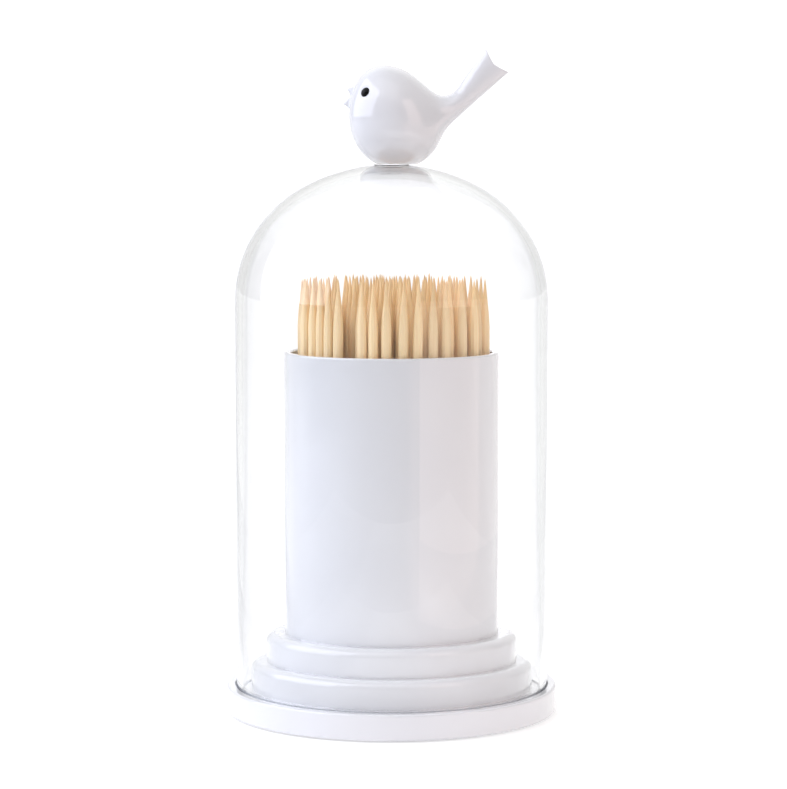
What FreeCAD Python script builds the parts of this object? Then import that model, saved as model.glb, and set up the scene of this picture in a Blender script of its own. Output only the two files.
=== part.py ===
import FreeCAD, Part
import math
import os
import random

# Toothpick holder with a clear lift-off dome and a bird for a knob.
# Millimetres. +Z up, the origin is where the dome's axis meets the table.
# The bird faces -X, so its left side is the -Y side.

V = FreeCAD.Vector
UP = V(0, 0, 1)

# ---- Driving dimensions ----------------------------------------------------------------

# Stepped base, one hollow moulding. Its widths follow from the dome that stands in it.
TRAY_RIM_W = 1.6             # rim outside the dome's groove
TRAY_TOP = 5.4               # height of the tray's top above the table
LOWER_TREAD = 1.4            # floor between the groove and the lower tier
LOWER_TIER_TOP = 11.0
UPPER_TREAD = 3.0            # step from the lower to the upper tier
UPPER_TIER_TOP = 16.6
TIER_SHOULDER_R = 1.65       # rounding of each tier's upper edge
TRAY_EDGE_R = 0.45           # rounding of the tray's outer edges
BASE_WALL = 2.0
TABLE_GAP = 0.3              # the soft ring holds the moulding this far off the table
GROOVE_DEPTH = 2.4           # groove that the dome's edge stands in
SPIGOT_H = 2.4               # raised disc that centres the cup
RIB_COUNT = 6
RIB_T = 1.2
RIB_LIFT = 3.4               # the ribs start this far above the closing plate

# Soft ring and closing plate under the base
RING_INSET = 1.8             # from the tray's edge to the ring
RING_T = 1.5
PLATE_T = 1.5
PLATE_LEDGE = 1.0            # width of the ledge that the plate sits against
PLATE_TO_RING = 1.05
PLATE_RIM_H = 2.6
PLATE_RIM_T = 1.5

# Cup and the screw that holds it
CUP_D = 42.7
CUP_WALL = 1.3
CUP_TOP = 72.1               # height of the cup's rim above the table
CUP_FLOOR_T = 2.5
CUP_LIP_R = 0.4
BOSS_D = 8.0
BOSS_L = 5.0
BOSS_WELL_T = 1.6            # wall of the well in the base that the boss stands in
SCREW_D = 3.0
SCREW_PILOT_L = 5.2          # depth of the screw's hole in the boss
SCREW_HEAD_D = 7.0
SCREW_HEAD_H = 2.0
SCREW_L = 6.4                # thread under the head
DRIVE_SLOT_W = 0.8
DRIVE_SLOT_L = 3.6
DRIVE_SLOT_DEPTH = 1.1

# Dome
DOME_D = 62.2
DOME_WALL = 1.5
DOME_TOP = 109.0             # height of the crown
DOME_CROWN_R = 36.7
DOME_SHOULDER_R = 25.5
DOME_LAND_D = 7.0            # small flat on the crown that the bird stands on
DOME_EDGE_R = 0.4
PEG_D = 3.6                  # peg on the crown, inside the bird's foot
PEG_H = 3.6
PEG_CHAMFER = 0.4

# Toothpicks
PICK_D = 2.0
PICK_L = 65.0
PICK_TAPER = 9.5             # length of each sharpened end
PICK_SIDES = 8
PICK_PITCH = 3.05            # mean spacing of the loosely filled cup
PICK_LEAN = 0.55             # how far a tip strays sideways, standard deviation
PICK_SEED = 11
FRONT_ROW_GIVES = 0.08       # share of a push that a pick of the front row takes
SETTLE_PASSES = 160
# Bearings of the picks that stand against the front of the cup, in degrees, at its rim
FRONT_ROW = [-62.8, -53.1, -46.2, -39.8, -33.0, -17.3, -10.7, -2.7, 6.4, 15.2, 24.7, 33.2, 46.1, 57.6, 77.0]

# Bird knob, two hollow halves
BIRD_SKIN = 2.0              # thickness of the moulded wall
BIRD_SOCKET_WALL = 1.7       # wall of the socket for the dome's peg
LOCATOR_D = 1.0              # pins between the two halves
LOCATOR_L = 1.4
EYE_D = 2.0
EYE_BULGE = 0.55
EYE_STEM_D = 1.0
EYE_STEM_L = 1.0
EYE_SEAT = 0.25              # depth of the flat seat cut for each eye

# Clearances
SEAT_CLEARANCE = 0.15        # between fixed mouldings that plug together
GROOVE_CLEARANCE = 0.3       # each side of the dome's wall in its groove
BOND_GAP = 0.1               # room for adhesive round the peg and the eye stems
PICK_CLEARANCE = 0.16        # least gap between settled picks, and from pick to cup
LOOSE_CLEARANCE = 0.5        # least gap round the pick that slides out by itself

# Form of the bird from breast to tail, seen from its left side. Each station is a
# cross-section: its point on the belly line and on the back line as (x, height above the
# foot), then its half width. The first one is where the breast closes to a point.
BIRD_STATIONS = [
    ((-8.42, 9.80), (-8.42, 9.80), 0.0),
    ((-8.22, 7.30), (-8.10, 12.50), 2.9),
    ((-7.20, 4.25), (-7.05, 15.70), 4.9),
    ((-5.40, 1.75), (-5.35, 18.00), 6.6),
    ((-2.80, 0.05), (-2.60, 19.30), 7.9),
    ((0.30, -0.55), (0.10, 19.25), 8.4),
    ((3.40, -0.45), (2.90, 18.25), 8.0),
    ((6.50, 0.75), (5.60, 16.35), 6.7),
    ((8.90, 3.30), (7.80, 14.50), 5.1),
    ((10.60, 6.50), (9.80, 13.50), 3.7),
    ((12.80, 8.90), (11.80, 13.85), 2.8),
    ((15.90, 11.75), (13.70, 15.90), 2.2),
    ((19.30, 14.78), (16.10, 19.30), 1.7),
    ((22.40, 17.50), (18.60, 22.50), 1.25),
    ((25.50, 20.25), (21.10, 25.70), 0.9),
]
SKIN_SECTION_COUNT = 30              # sections that the skin is lofted through
CORE_SECTION_COUNT = 9
SECTION_POINTS = 12                  # points that shape each oval section
CORE_FROM = 0.17                     # the body is hollow between these shares of the way
CORE_TO = 0.58                       # from breast to tail; the tail is solid
NOSE_SHARE = 0.002                   # the skin starts at a tiny oval, not at a bare point

# Forked end of the tail: upper tip, notch and lower tip, joined by slightly hollow arcs
TAIL_UPPER_TIP = (18.65, 22.60)
TAIL_NOTCH = (20.10, 19.64)
TAIL_LOWER_TIP = (23.08, 18.10)
TAIL_ARC_SAG = -0.10

# Open beak, side outline and plan outline
BEAK_ROOT_X = -6.2
BEAK_ROOT_TOP = 15.9
BEAK_ROOT_LOW = 10.3
BEAK_UPPER_TIP = (-8.89, 14.88)
BEAK_LOWER_TIP = (-9.45, 11.85)
BEAK_MOUTH = (-8.15, 13.40)
BEAK_BRIDGE = (-7.35, 15.35)         # where the upper beak leaves the forehead
BEAK_CHIN = (-8.40, 10.95)           # where the lower beak leaves the breast
BEAK_ARC_SAG = 0.12
BEAK_ROOT_W = 3.8
BEAK_TIP_W = 0.5

EYE_POINT = (-5.3, 14.14)            # centre of each eye: x and height above the foot
LOCATORS = [(-0.4, 18.25), (-7.30, 8.8), (12.4, 11.4)]

# ---- Sizes that follow from the ones above ----------------------------------------------

DOME_R = DOME_D / 2
DOME_INNER_R = DOME_R - DOME_WALL
GROOVE_OUTER_R = DOME_R + GROOVE_CLEARANCE
GROOVE_INNER_R = DOME_INNER_R - GROOVE_CLEARANCE
GROOVE_FLOOR = TRAY_TOP - GROOVE_DEPTH

# the crown's arc meets the shoulder's arc smoothly, and this is where their centres are
SHOULDER_X = DOME_R - DOME_SHOULDER_R
CROWN_Z = DOME_TOP - DOME_CROWN_R
SHOULDER_Z = CROWN_Z + math.sqrt((DOME_CROWN_R - DOME_SHOULDER_R) ** 2 - SHOULDER_X ** 2)

TRAY_R = GROOVE_OUTER_R + TRAY_RIM_W
LOWER_R = GROOVE_INNER_R - LOWER_TREAD
UPPER_R = LOWER_R - UPPER_TREAD

CUP_R = CUP_D / 2
CUP_INNER_R = CUP_R - CUP_WALL
SPIGOT_R = CUP_INNER_R - SEAT_CLEARANCE
SPIGOT_TOP = UPPER_TIER_TOP + SPIGOT_H
CUP_FLOOR_UNDER = SPIGOT_TOP + SEAT_CLEARANCE
CUP_FLOOR = CUP_FLOOR_UNDER + CUP_FLOOR_T

BOSS_R = BOSS_D / 2
BOSS_END = CUP_FLOOR_UNDER - BOSS_L
WELL_R = BOSS_R + SEAT_CLEARANCE
WELL_FLOOR = BOSS_END - SEAT_CLEARANCE
WELL_UNDER = WELL_FLOOR - BASE_WALL
SCREW_R = SCREW_D / 2

CAVITY_R = LOWER_R - BASE_WALL
PLATE_SEAT = TABLE_GAP + PLATE_T
PLATE_R = CAVITY_R + PLATE_LEDGE - SEAT_CLEARANCE
PLATE_RIM_R = CAVITY_R - SEAT_CLEARANCE
PLATE_RIM_TOP = PLATE_SEAT + PLATE_RIM_H
RING_OUTER_R = TRAY_R - RING_INSET
RING_INNER_R = PLATE_R + PLATE_TO_RING

PICK_R = PICK_D / 2
PICK_FOOT = CUP_FLOOR
PICK_ROOM_R = CUP_INNER_R - PICK_CLEARANCE - PICK_R
PICK_COUNT = int(math.pi * PICK_ROOM_R ** 2 / (math.sqrt(3) / 2 * PICK_PITCH ** 2))

BIRD_FOOT = DOME_TOP
PEG_R = PEG_D / 2
SOCKET_R = PEG_R + BOND_GAP
SOCKET_TOP = BIRD_FOOT + PEG_H + BOND_GAP

EVERYWHERE = 400.0           # side of the boxes that cut solids in two


# ---- Helpers -----------------------------------------------------------------------------

def cylinder(radius, low, high, x=0.0, y=0.0):
    return Part.makeCylinder(radius, high - low, V(x, y, low), UP)


def ring(outer, inner, low, high):
    return cylinder(outer, low, high).cut(cylinder(inner, low, high))


def revolved(edges):
    face = Part.Face(Part.Wire(Part.__sortEdges__(edges)))
    return face.revolve(V(0, 0, 0), UP, 360)


def rz(r, z):
    return V(r, 0, z)


def line(a, b):
    return Part.LineSegment(a, b).toShape()


def arc(a, middle, b):
    return Part.Arc(a, middle, b).toShape()


def bowed(a, b, sag):
    """Arc from a to b in the XZ plane, with its middle off the chord by sag to the left."""
    chord = b - a
    side = V(-chord.z, 0, chord.x).normalize()
    return arc(a, (a + b) * 0.5 + side * sag, b)


def round_edges_at(solid, radius, places):
    """Round the circular edges whose radius and height match one of the places."""
    near = 1e-4
    chosen = []
    for edge in solid.Edges:
        if edge.Degenerated or not isinstance(edge.Curve, Part.Circle):
            continue
        centre = edge.Curve.Center
        for r, z in places:
            if abs(edge.Curve.Radius - r) < near and abs(centre.z - z) < near:
                chosen.append(edge)
    return solid.makeFillet(radius, chosen)


# ---- Base --------------------------------------------------------------------------------

def make_base_shell():
    shell = cylinder(TRAY_R, TABLE_GAP, TRAY_TOP)
    shell = shell.fuse(cylinder(LOWER_R, TABLE_GAP, LOWER_TIER_TOP))
    shell = shell.fuse(cylinder(UPPER_R, TABLE_GAP, UPPER_TIER_TOP))
    shell = shell.fuse(cylinder(SPIGOT_R, TABLE_GAP, SPIGOT_TOP)).removeSplitter()
    shell = round_edges_at(shell, TIER_SHOULDER_R, [(LOWER_R, LOWER_TIER_TOP), (UPPER_R, UPPER_TIER_TOP)])
    shell = round_edges_at(shell, TRAY_EDGE_R, [(TRAY_R, TRAY_TOP), (TRAY_R, TABLE_GAP)])

    shell = shell.cut(ring(GROOVE_OUTER_R, GROOVE_INNER_R, GROOVE_FLOOR, TRAY_TOP + 1))
    shell = shell.cut(ring(RING_OUTER_R + SEAT_CLEARANCE, RING_INNER_R - SEAT_CLEARANCE, 0, RING_T))

    cavity = cylinder(CAVITY_R + PLATE_LEDGE, 0, PLATE_SEAT)
    cavity = cavity.fuse(cylinder(CAVITY_R, 0, LOWER_TIER_TOP - BASE_WALL))
    cavity = cavity.fuse(cylinder(UPPER_R - BASE_WALL, 0, UPPER_TIER_TOP - BASE_WALL))
    cavity = cavity.fuse(cylinder(SPIGOT_R - BASE_WALL, 0, SPIGOT_TOP - BASE_WALL))
    cavity = cavity.cut(cylinder(WELL_R + BOSS_WELL_T, WELL_UNDER, SPIGOT_TOP))
    shell = shell.cut(cavity.cut(make_ribs()))

    shell = shell.cut(cylinder(WELL_R, WELL_FLOOR, SPIGOT_TOP + 1))
    shell = shell.cut(cylinder(SCREW_R + SEAT_CLEARANCE, WELL_UNDER - 1, WELL_FLOOR + 1))
    return shell.removeSplitter()


def make_ribs():
    """Radial stiffening ribs that fill the cavity from the outer wall to the boss well."""
    low = PLATE_SEAT + RIB_LIFT
    ribs = None
    for i in range(RIB_COUNT):
        rib = Part.makeBox(LOWER_R, RIB_T, SPIGOT_TOP - low, V(0, -RIB_T / 2, low))
        rib.rotate(V(0, 0, 0), UP, 360 / RIB_COUNT * i + 180 / RIB_COUNT)
        ribs = rib if ribs is None else ribs.fuse(rib)
    # the screw's head and its driver pass through the middle
    return ribs.cut(cylinder(SCREW_HEAD_D / 2 + 1, 0, WELL_UNDER))


def make_base_plate():
    plate = cylinder(PLATE_R, TABLE_GAP, PLATE_SEAT)
    rim = ring(PLATE_RIM_R, PLATE_RIM_R - PLATE_RIM_T, PLATE_SEAT, PLATE_RIM_TOP)
    return plate.fuse(rim).removeSplitter()


def make_anti_slip_ring():
    return ring(RING_OUTER_R, RING_INNER_R, 0, RING_T)


# ---- Cup and screw -----------------------------------------------------------------------

def make_pick_cup():
    cup = cylinder(CUP_R, UPPER_TIER_TOP, CUP_TOP)
    cup = cup.cut(cylinder(CUP_INNER_R, CUP_FLOOR, CUP_TOP + 1))
    cup = cup.cut(cylinder(CUP_INNER_R, UPPER_TIER_TOP - 1, CUP_FLOOR_UNDER))
    cup = round_edges_at(cup, CUP_LIP_R, [(CUP_R, CUP_TOP), (CUP_INNER_R, CUP_TOP)])
    cup = cup.fuse(cylinder(BOSS_R, BOSS_END, CUP_FLOOR_UNDER))
    cup = cup.cut(cylinder(SCREW_R, BOSS_END - 1, BOSS_END + SCREW_PILOT_L))
    return cup.removeSplitter()


def make_cup_screw():
    screw = cylinder(SCREW_HEAD_D / 2, WELL_UNDER - SCREW_HEAD_H, WELL_UNDER)
    screw = round_edges_at(screw, SCREW_HEAD_H / 3, [(SCREW_HEAD_D / 2, WELL_UNDER - SCREW_HEAD_H)])
    screw = screw.fuse(cylinder(SCREW_R - BOND_GAP, WELL_UNDER, WELL_UNDER + SCREW_L))
    slot_low = WELL_UNDER - SCREW_HEAD_H
    for length, width in ((DRIVE_SLOT_L, DRIVE_SLOT_W), (DRIVE_SLOT_W, DRIVE_SLOT_L)):
        corner = V(-length / 2, -width / 2, slot_low)
        screw = screw.cut(Part.makeBox(length, width, DRIVE_SLOT_DEPTH, corner))
    return screw


# ---- Dome --------------------------------------------------------------------------------

def dome_profile(inset, low):
    """Closed half section of a solid dome, the inset in from the dome's outside."""
    shoulder = DOME_SHOULDER_R - inset
    crown = DOME_CROWN_R - inset
    turn = math.atan2(SHOULDER_Z - CROWN_Z, SHOULDER_X)

    def on_shoulder(a):
        return rz(SHOULDER_X + shoulder * math.cos(a), SHOULDER_Z + shoulder * math.sin(a))

    def on_crown(a):
        return rz(crown * math.cos(a), CROWN_Z + crown * math.sin(a))

    return [
        line(rz(0, low), rz(DOME_R - inset, low)),
        line(rz(DOME_R - inset, low), on_shoulder(0)),
        arc(on_shoulder(0), on_shoulder(turn / 2), on_shoulder(turn)),
        arc(on_shoulder(turn), on_crown((turn + math.pi / 2) / 2), on_crown(math.pi / 2)),
        line(on_crown(math.pi / 2), rz(0, low)),
    ]


def make_dome():
    outside = revolved(dome_profile(0, GROOVE_FLOOR))
    outside = round_edges_at(outside, DOME_EDGE_R, [(DOME_R, GROOVE_FLOOR)])
    inside = revolved(dome_profile(DOME_WALL, GROOVE_FLOOR - 1))
    land = cylinder(DOME_LAND_D / 2, DOME_TOP - DOME_WALL / 2, DOME_TOP)
    peg = cylinder(PEG_R, DOME_TOP - DOME_WALL / 2, DOME_TOP + PEG_H)
    rim = [e for e in peg.Edges if abs(e.BoundBox.ZMin - DOME_TOP - PEG_H) < 1e-6]
    peg = peg.makeChamfer(PEG_CHAMFER, rim)
    return outside.cut(inside).fuse(land).fuse(peg).removeSplitter()


# ---- Toothpicks --------------------------------------------------------------------------

def settle_picks():
    """Foot and tip of every pick in the filled cup, as lists [foot x, foot y, tip x, tip y].

    The picks start on a sunflower spiral with a stray lean, and the ones nearest to the front
    row's places move there. Then they push each other apart until no two are nearer than the
    clearance at any height. The front one stays upright, because it slides out by itself.
    """
    dice = random.Random(PICK_SEED)
    golden_angle = math.pi * (3 - math.sqrt(5))
    picks = []
    for i in range(PICK_COUNT):
        r = PICK_ROOM_R * math.sqrt((i + 0.5) / PICK_COUNT)
        a = i * golden_angle
        foot = [r * math.cos(a) + dice.gauss(0, PICK_LEAN), r * math.sin(a) + dice.gauss(0, PICK_LEAN)]
        tip = [foot[0] + dice.gauss(0, PICK_LEAN), foot[1] + dice.gauss(0, PICK_LEAN)]
        picks.append(foot + tip)
    front_row = []
    at_rim = (CUP_TOP - PICK_FOOT) / PICK_L
    for bearing in FRONT_ROW:
        a = math.radians(bearing - 90)
        x, y = PICK_ROOM_R * math.cos(a), PICK_ROOM_R * math.sin(a)
        nearest = min(picks, key=lambda pick: math.hypot(pick[0] - x, pick[1] - y))
        picks.remove(nearest)
        lean = nearest[2] - nearest[0]
        front_row.append([x - lean * at_rim, y, x + lean * (1 - at_rim), y])
    front_row.sort(key=lambda pick: pick[1])
    picks = front_row + picks

    for _ in range(SETTLE_PASSES):
        for i in range(PICK_COUNT):
            for j in range(i + 1, PICK_COUNT):
                clearance = LOOSE_CLEARANCE if i == 0 else PICK_CLEARANCE
                share = FRONT_ROW_GIVES if i < len(FRONT_ROW) <= j else 0.5
                push_apart(picks[i], picks[j], clearance, share)
        upright(picks[0])
        for pick in picks:
            keep_inside(pick)
    return picks


def push_apart(one, other, clearance, share_of_one):
    """Part two picks that are too near, moving the first by its share of what is missing."""
    least = PICK_D + clearance
    for height in (0.0, 0.5, 1.0):
        low_share, high_share = 1 - height, height
        dx = (other[0] - one[0]) * low_share + (other[2] - one[2]) * high_share
        dy = (other[1] - one[1]) * low_share + (other[3] - one[3]) * high_share
        gap = math.hypot(dx, dy)
        if gap >= least or gap == 0:
            continue
        step = (least - gap) / gap
        for end, share in ((0, low_share), (2, high_share)):
            back = step * share * share_of_one
            on = step * share * (1 - share_of_one)
            one[end] -= dx * back
            one[end + 1] -= dy * back
            other[end] += dx * on
            other[end + 1] += dy * on


def upright(pick):
    pick[0] = pick[2] = (pick[0] + pick[2]) / 2
    pick[1] = pick[3] = (pick[1] + pick[3]) / 2


def keep_inside(pick):
    for end in (0, 2):
        r = math.hypot(pick[end], pick[end + 1])
        if r > PICK_ROOM_R:
            pick[end] *= PICK_ROOM_R / r
            pick[end + 1] *= PICK_ROOM_R / r


def make_pick():
    """One upright toothpick, pointed at both ends, with its foot at the origin."""
    sections = [Part.Vertex(0, 0, 0)]
    for z in (PICK_TAPER, PICK_L - PICK_TAPER):
        angles = [2 * math.pi * i / PICK_SIDES for i in range(PICK_SIDES + 1)]
        corners = [V(PICK_R * math.cos(a), PICK_R * math.sin(a), z) for a in angles]
        sections.append(Part.makePolygon(corners))
    sections.append(Part.Vertex(0, 0, PICK_L))
    return Part.makeLoft(sections, True, True)


def place_pick(model, pick):
    foot = V(pick[0], pick[1], PICK_FOOT)
    lean = V(pick[2] - pick[0], pick[3] - pick[1], PICK_L)
    placed = model.copy()
    placed.Placement = FreeCAD.Placement(foot, FreeCAD.Rotation(UP, lean))
    return placed


# ---- Bird --------------------------------------------------------------------------------

def at_bird(point):
    """Point of the bird's outline, as (x, height above the foot), in the part's frame."""
    return V(point[0], 0, BIRD_FOOT + point[1])


def section_wire(low, high, half_width):
    """Closed oval across the bird, from its belly point to its back point."""
    middle = (low + high) * 0.5
    reach = (high - low) * 0.5
    points = []
    for i in range(SECTION_POINTS):
        # the curve starts at the widest point, so its seam stays off the parting plane
        a = 2 * math.pi * i / SECTION_POINTS
        points.append(middle + reach * math.sin(a) + V(0, half_width * math.cos(a), 0))
    curve = Part.BSplineCurve()
    # the same spacing in every section keeps the skin between them smooth and light
    spacing = [i / SECTION_POINTS for i in range(SECTION_POINTS + 1)]
    curve.interpolate(Points=points, PeriodicFlag=True, Parameters=spacing)
    return Part.Wire(curve.toShape())


def bird_rails():
    """Belly, back and flank lines of the bird as curves that share one parameter, 0 to 1."""
    belly = [at_bird(low) for low, high, half_width in BIRD_STATIONS]
    back = [at_bird(high) for low, high, half_width in BIRD_STATIONS]
    flank = [V(0, half_width, 0) for low, high, half_width in BIRD_STATIONS]
    way = [0.0]
    for i in range(1, len(BIRD_STATIONS)):
        step = (belly[i] - belly[i - 1]).Length + (back[i] - back[i - 1]).Length
        way.append(way[-1] + step)
    rails = []
    for points in (belly, back, flank):
        rail = Part.BSplineCurve()
        rail.interpolate(Points=points, Parameters=[w / way[-1] for w in way])
        rails.append(rail)
    return rails


def lofted_skin(start, end, sections, inset=0.0):
    """Solid through ovals along part of the bird, the inset in from its surface.

    It is cut flat where the bird's foot is, the inset above it.
    """
    belly, back, flank = bird_rails()
    wires = []
    for i in range(sections + 1):
        share = start + (end - start) * i / sections
        low, high = belly.value(share), back.value(share)
        inward = (high - low).normalize() * inset
        wires.append(section_wire(low + inward, high - inward, flank.value(share).y - inset))
    cubic = 3
    skin = Part.makeLoft(wires, True, False, False, cubic)
    corner = V(-EVERYWHERE / 2, -EVERYWHERE / 2, BIRD_FOOT + inset - EVERYWHERE)
    return skin.cut(Part.makeBox(EVERYWHERE, EVERYWHERE, EVERYWHERE, corner))


def make_bird_body():
    """Head, body and tail as one smooth skin, with the tail's fork and the beak."""
    return lofted_skin(NOSE_SHARE, 1, SKIN_SECTION_COUNT).cut(make_tail_notch()).fuse(make_beak())


def make_tail_notch():
    """Everything beyond the forked end of the tail."""
    upper, notch, lower = at_bird(TAIL_UPPER_TIP), at_bird(TAIL_NOTCH), at_bird(TAIL_LOWER_TIP)
    far = TAIL_LOWER_TIP[0]
    edges = [
        bowed(upper, notch, TAIL_ARC_SAG),
        bowed(notch, lower, TAIL_ARC_SAG),
        line(lower, lower + V(far, 0, -far)),
        line(lower + V(far, 0, -far), lower + V(far, 0, far)),
        line(lower + V(far, 0, far), upper + V(-far, 0, far)),
        line(upper + V(-far, 0, far), upper),
    ]
    return side_prism(edges, DOME_D)


def side_prism(edges, width):
    """Prism across the bird from an outline in the XZ plane."""
    face = Part.Face(Part.Wire(Part.__sortEdges__(edges)))
    face.translate(V(0, -width / 2, 0))
    return face.extrude(V(0, width, 0))


def make_beak():
    """Open beak: its side outline cut through a plan outline that narrows to the tips."""
    root_top, root_low = at_bird((BEAK_ROOT_X, BEAK_ROOT_TOP)), at_bird((BEAK_ROOT_X, BEAK_ROOT_LOW))
    bridge, chin = at_bird(BEAK_BRIDGE), at_bird(BEAK_CHIN)
    upper, mouth, lower = at_bird(BEAK_UPPER_TIP), at_bird(BEAK_MOUTH), at_bird(BEAK_LOWER_TIP)
    side = side_prism(
        [
            line(root_low, root_top),
            line(root_top, bridge),
            bowed(bridge, upper, BEAK_ARC_SAG),
            bowed(upper, mouth, BEAK_ARC_SAG),
            bowed(mouth, lower, BEAK_ARC_SAG),
            bowed(lower, chin, BEAK_ARC_SAG),
            line(chin, root_low),
        ],
        BEAK_ROOT_W,
    )
    tip_x = BEAK_LOWER_TIP[0]
    plan = Part.makePolygon(
        [
            V(BEAK_ROOT_X, -BEAK_ROOT_W / 2, BIRD_FOOT),
            V(tip_x, -BEAK_TIP_W / 2, BIRD_FOOT),
            V(tip_x, BEAK_TIP_W / 2, BIRD_FOOT),
            V(BEAK_ROOT_X, BEAK_ROOT_W / 2, BIRD_FOOT),
            V(BEAK_ROOT_X, -BEAK_ROOT_W / 2, BIRD_FOOT),
        ]
    )
    return side.common(Part.Face(plan).extrude(V(0, 0, BEAK_ROOT_TOP)))


def make_bird_core():
    """Hollow inside the body, with the socket for the dome's peg standing in it."""
    core = lofted_skin(CORE_FROM, CORE_TO, CORE_SECTION_COUNT, BIRD_SKIN)
    return core.cut(cylinder(SOCKET_R + BIRD_SOCKET_WALL, BIRD_FOOT, SOCKET_TOP + BIRD_SKIN))


def eye_seat(body, side):
    """Point on the head where the eye of one side sits, and the direction it faces."""
    x, height = EYE_POINT
    z = BIRD_FOOT + height
    probe = Part.makeLine(V(x, 0, z), V(x, side * DOME_R, z)).common(body)
    point = max((vertex.Point for vertex in probe.Vertexes), key=lambda p: side * p.y)
    touch = body.distToShape(Part.Vertex(point))[2][0]
    return point, body.Faces[touch[1]].normalAt(*touch[2])


def facing(point, outward):
    return FreeCAD.Placement(point - outward * EYE_SEAT, FreeCAD.Rotation(UP, outward))


def make_eye(point, outward):
    """Glossy bead: a flat-backed cap with a stem behind it."""
    bulge_r = (EYE_D ** 2 / 4 + EYE_BULGE ** 2) / (2 * EYE_BULGE)
    ball = Part.makeSphere(bulge_r, V(0, 0, EYE_BULGE - bulge_r))
    cap = ball.common(cylinder(EYE_D, 0, EYE_D))
    bead = cap.fuse(cylinder(EYE_STEM_D / 2, -EYE_STEM_L, 0)).removeSplitter()
    bead.Placement = facing(point, outward)
    return bead


def make_eye_pocket(point, outward):
    """Flat seat and stem hole that one eye is pressed into."""
    seat = cylinder(EYE_D / 2 + BOND_GAP, 0, EYE_D)
    hole = cylinder(EYE_STEM_D / 2 + BOND_GAP, -EYE_STEM_L - BOND_GAP, EYE_SEAT)
    pocket = seat.fuse(hole)
    pocket.Placement = facing(point, outward)
    return pocket


def make_locators(radius, length):
    """Pins, or the holes for them, that reach from the parting plane towards -Y."""
    pins = []
    for x, height in LOCATORS:
        pins.append(Part.makeCylinder(radius, length, V(x, 0, BIRD_FOOT + height), V(0, -1, 0)))
    return pins


def make_bird():
    """The two halves and the two eyes of the bird, as a dictionary of nodes."""
    body = make_bird_body()
    seats = {"left": eye_seat(body, -1), "right": eye_seat(body, 1)}
    hollow = body.cut(make_bird_core()).cut(cylinder(SOCKET_R, BIRD_FOOT - 1, SOCKET_TOP))
    half = EVERYWHERE / 2
    nodes = {}
    for side, low_y in (("left", -EVERYWHERE), ("right", 0)):
        box = Part.makeBox(EVERYWHERE, EVERYWHERE, EVERYWHERE, V(-half, low_y, 0))
        shell = hollow.common(box).cut(make_eye_pocket(*seats[side]))
        if side == "left":
            for hole in make_locators(LOCATOR_D / 2 + BOND_GAP, LOCATOR_L + BOND_GAP):
                shell = shell.cut(hole)
        else:
            for pin in make_locators(LOCATOR_D / 2, LOCATOR_L):
                shell = shell.fuse(pin)
        nodes["bird_" + side] = shell
        nodes["eye_" + side] = make_eye(*seats[side])
    return nodes


# ---- All nodes ---------------------------------------------------------------------------

def make_nodes():
    model = make_pick()
    settled = [place_pick(model, pick) for pick in settle_picks()]
    nodes = {
        "base_shell": make_base_shell(),
        "base_plate": make_base_plate(),
        "anti_slip_ring": make_anti_slip_ring(),
        "pick_cup": make_pick_cup(),
        "cup_screw": make_cup_screw(),
        "dome": make_dome(),
        "first_pick": settled[0],
        "toothpicks": Part.makeCompound(settled[1:]),
    }
    nodes.update(make_bird())
    return nodes


def main():
    os.makedirs("parts", exist_ok=True)
    for name, shape in make_nodes().items():
        box = shape.BoundBox
        print(
            f"{name}: {len(shape.Solids)} solids, valid {shape.isValid()}, volume {shape.Volume:.1f} mm3, "
            f"z {box.ZMin:.2f} to {box.ZMax:.2f}"
        )
        shape.exportStep(f"parts/{name}.step")


main()
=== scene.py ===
"""Toothpick holder with a clear lift-off dome and a bird for a knob.

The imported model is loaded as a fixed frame. Everything here is its finish: the materials of
the moulded parts, the toothpicks with their turned points, and a plain studio round them.
"""

import logging
import math
import random
from dataclasses import dataclass, field
from enum import Enum
from typing import Any, ClassVar, Iterator

import bmesh
import bpy
from mathutils import Matrix, Vector


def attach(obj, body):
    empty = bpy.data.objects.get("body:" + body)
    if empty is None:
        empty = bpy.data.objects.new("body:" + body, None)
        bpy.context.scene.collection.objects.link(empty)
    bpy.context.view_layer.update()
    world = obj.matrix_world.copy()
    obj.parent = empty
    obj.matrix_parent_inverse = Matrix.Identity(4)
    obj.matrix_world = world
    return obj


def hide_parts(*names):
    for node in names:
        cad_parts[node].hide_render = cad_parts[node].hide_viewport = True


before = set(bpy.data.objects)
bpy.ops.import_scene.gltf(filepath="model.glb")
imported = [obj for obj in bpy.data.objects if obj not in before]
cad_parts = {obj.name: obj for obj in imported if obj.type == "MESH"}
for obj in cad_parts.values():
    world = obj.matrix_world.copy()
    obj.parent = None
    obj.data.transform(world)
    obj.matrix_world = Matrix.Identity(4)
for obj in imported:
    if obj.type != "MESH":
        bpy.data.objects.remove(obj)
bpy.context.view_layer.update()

logging.basicConfig(level=logging.INFO, format="%(name)s: %(message)s")
log = logging.getLogger("toothpick_holder")

# faces that meet at a larger angle than this keep a sharp edge between them
SHARP = math.radians(35)
# vertices that are closer together than this are one
MERGE_MM = 0.001


# ---- Units, colours and nodes -------------------------------------------------------------


def mm(length: float) -> float:
    """Metres in a length given in millimetres."""
    return length / 1000.0


def per_mm(spacing: float) -> float:
    """Texture scale, in cells a metre, for a pattern that repeats each so many millimetres."""
    return 1000.0 / spacing


def linear(colour: str) -> tuple[float, float, float, float]:
    """Turn an sRGB hex colour into the linear colour that shaders use.

    Args:
        colour: Colour such as "#F4F5F8".

    Returns:
        Linear red, green and blue, with an alpha of 1.
    """
    channels = []
    for start in (1, 3, 5):
        value = int(colour[start:start + 2], 16) / 255
        channels.append(value / 12.92 if value <= 0.04045 else ((value + 0.055) / 1.055) ** 2.4)
    return (*channels, 1.0)


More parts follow.
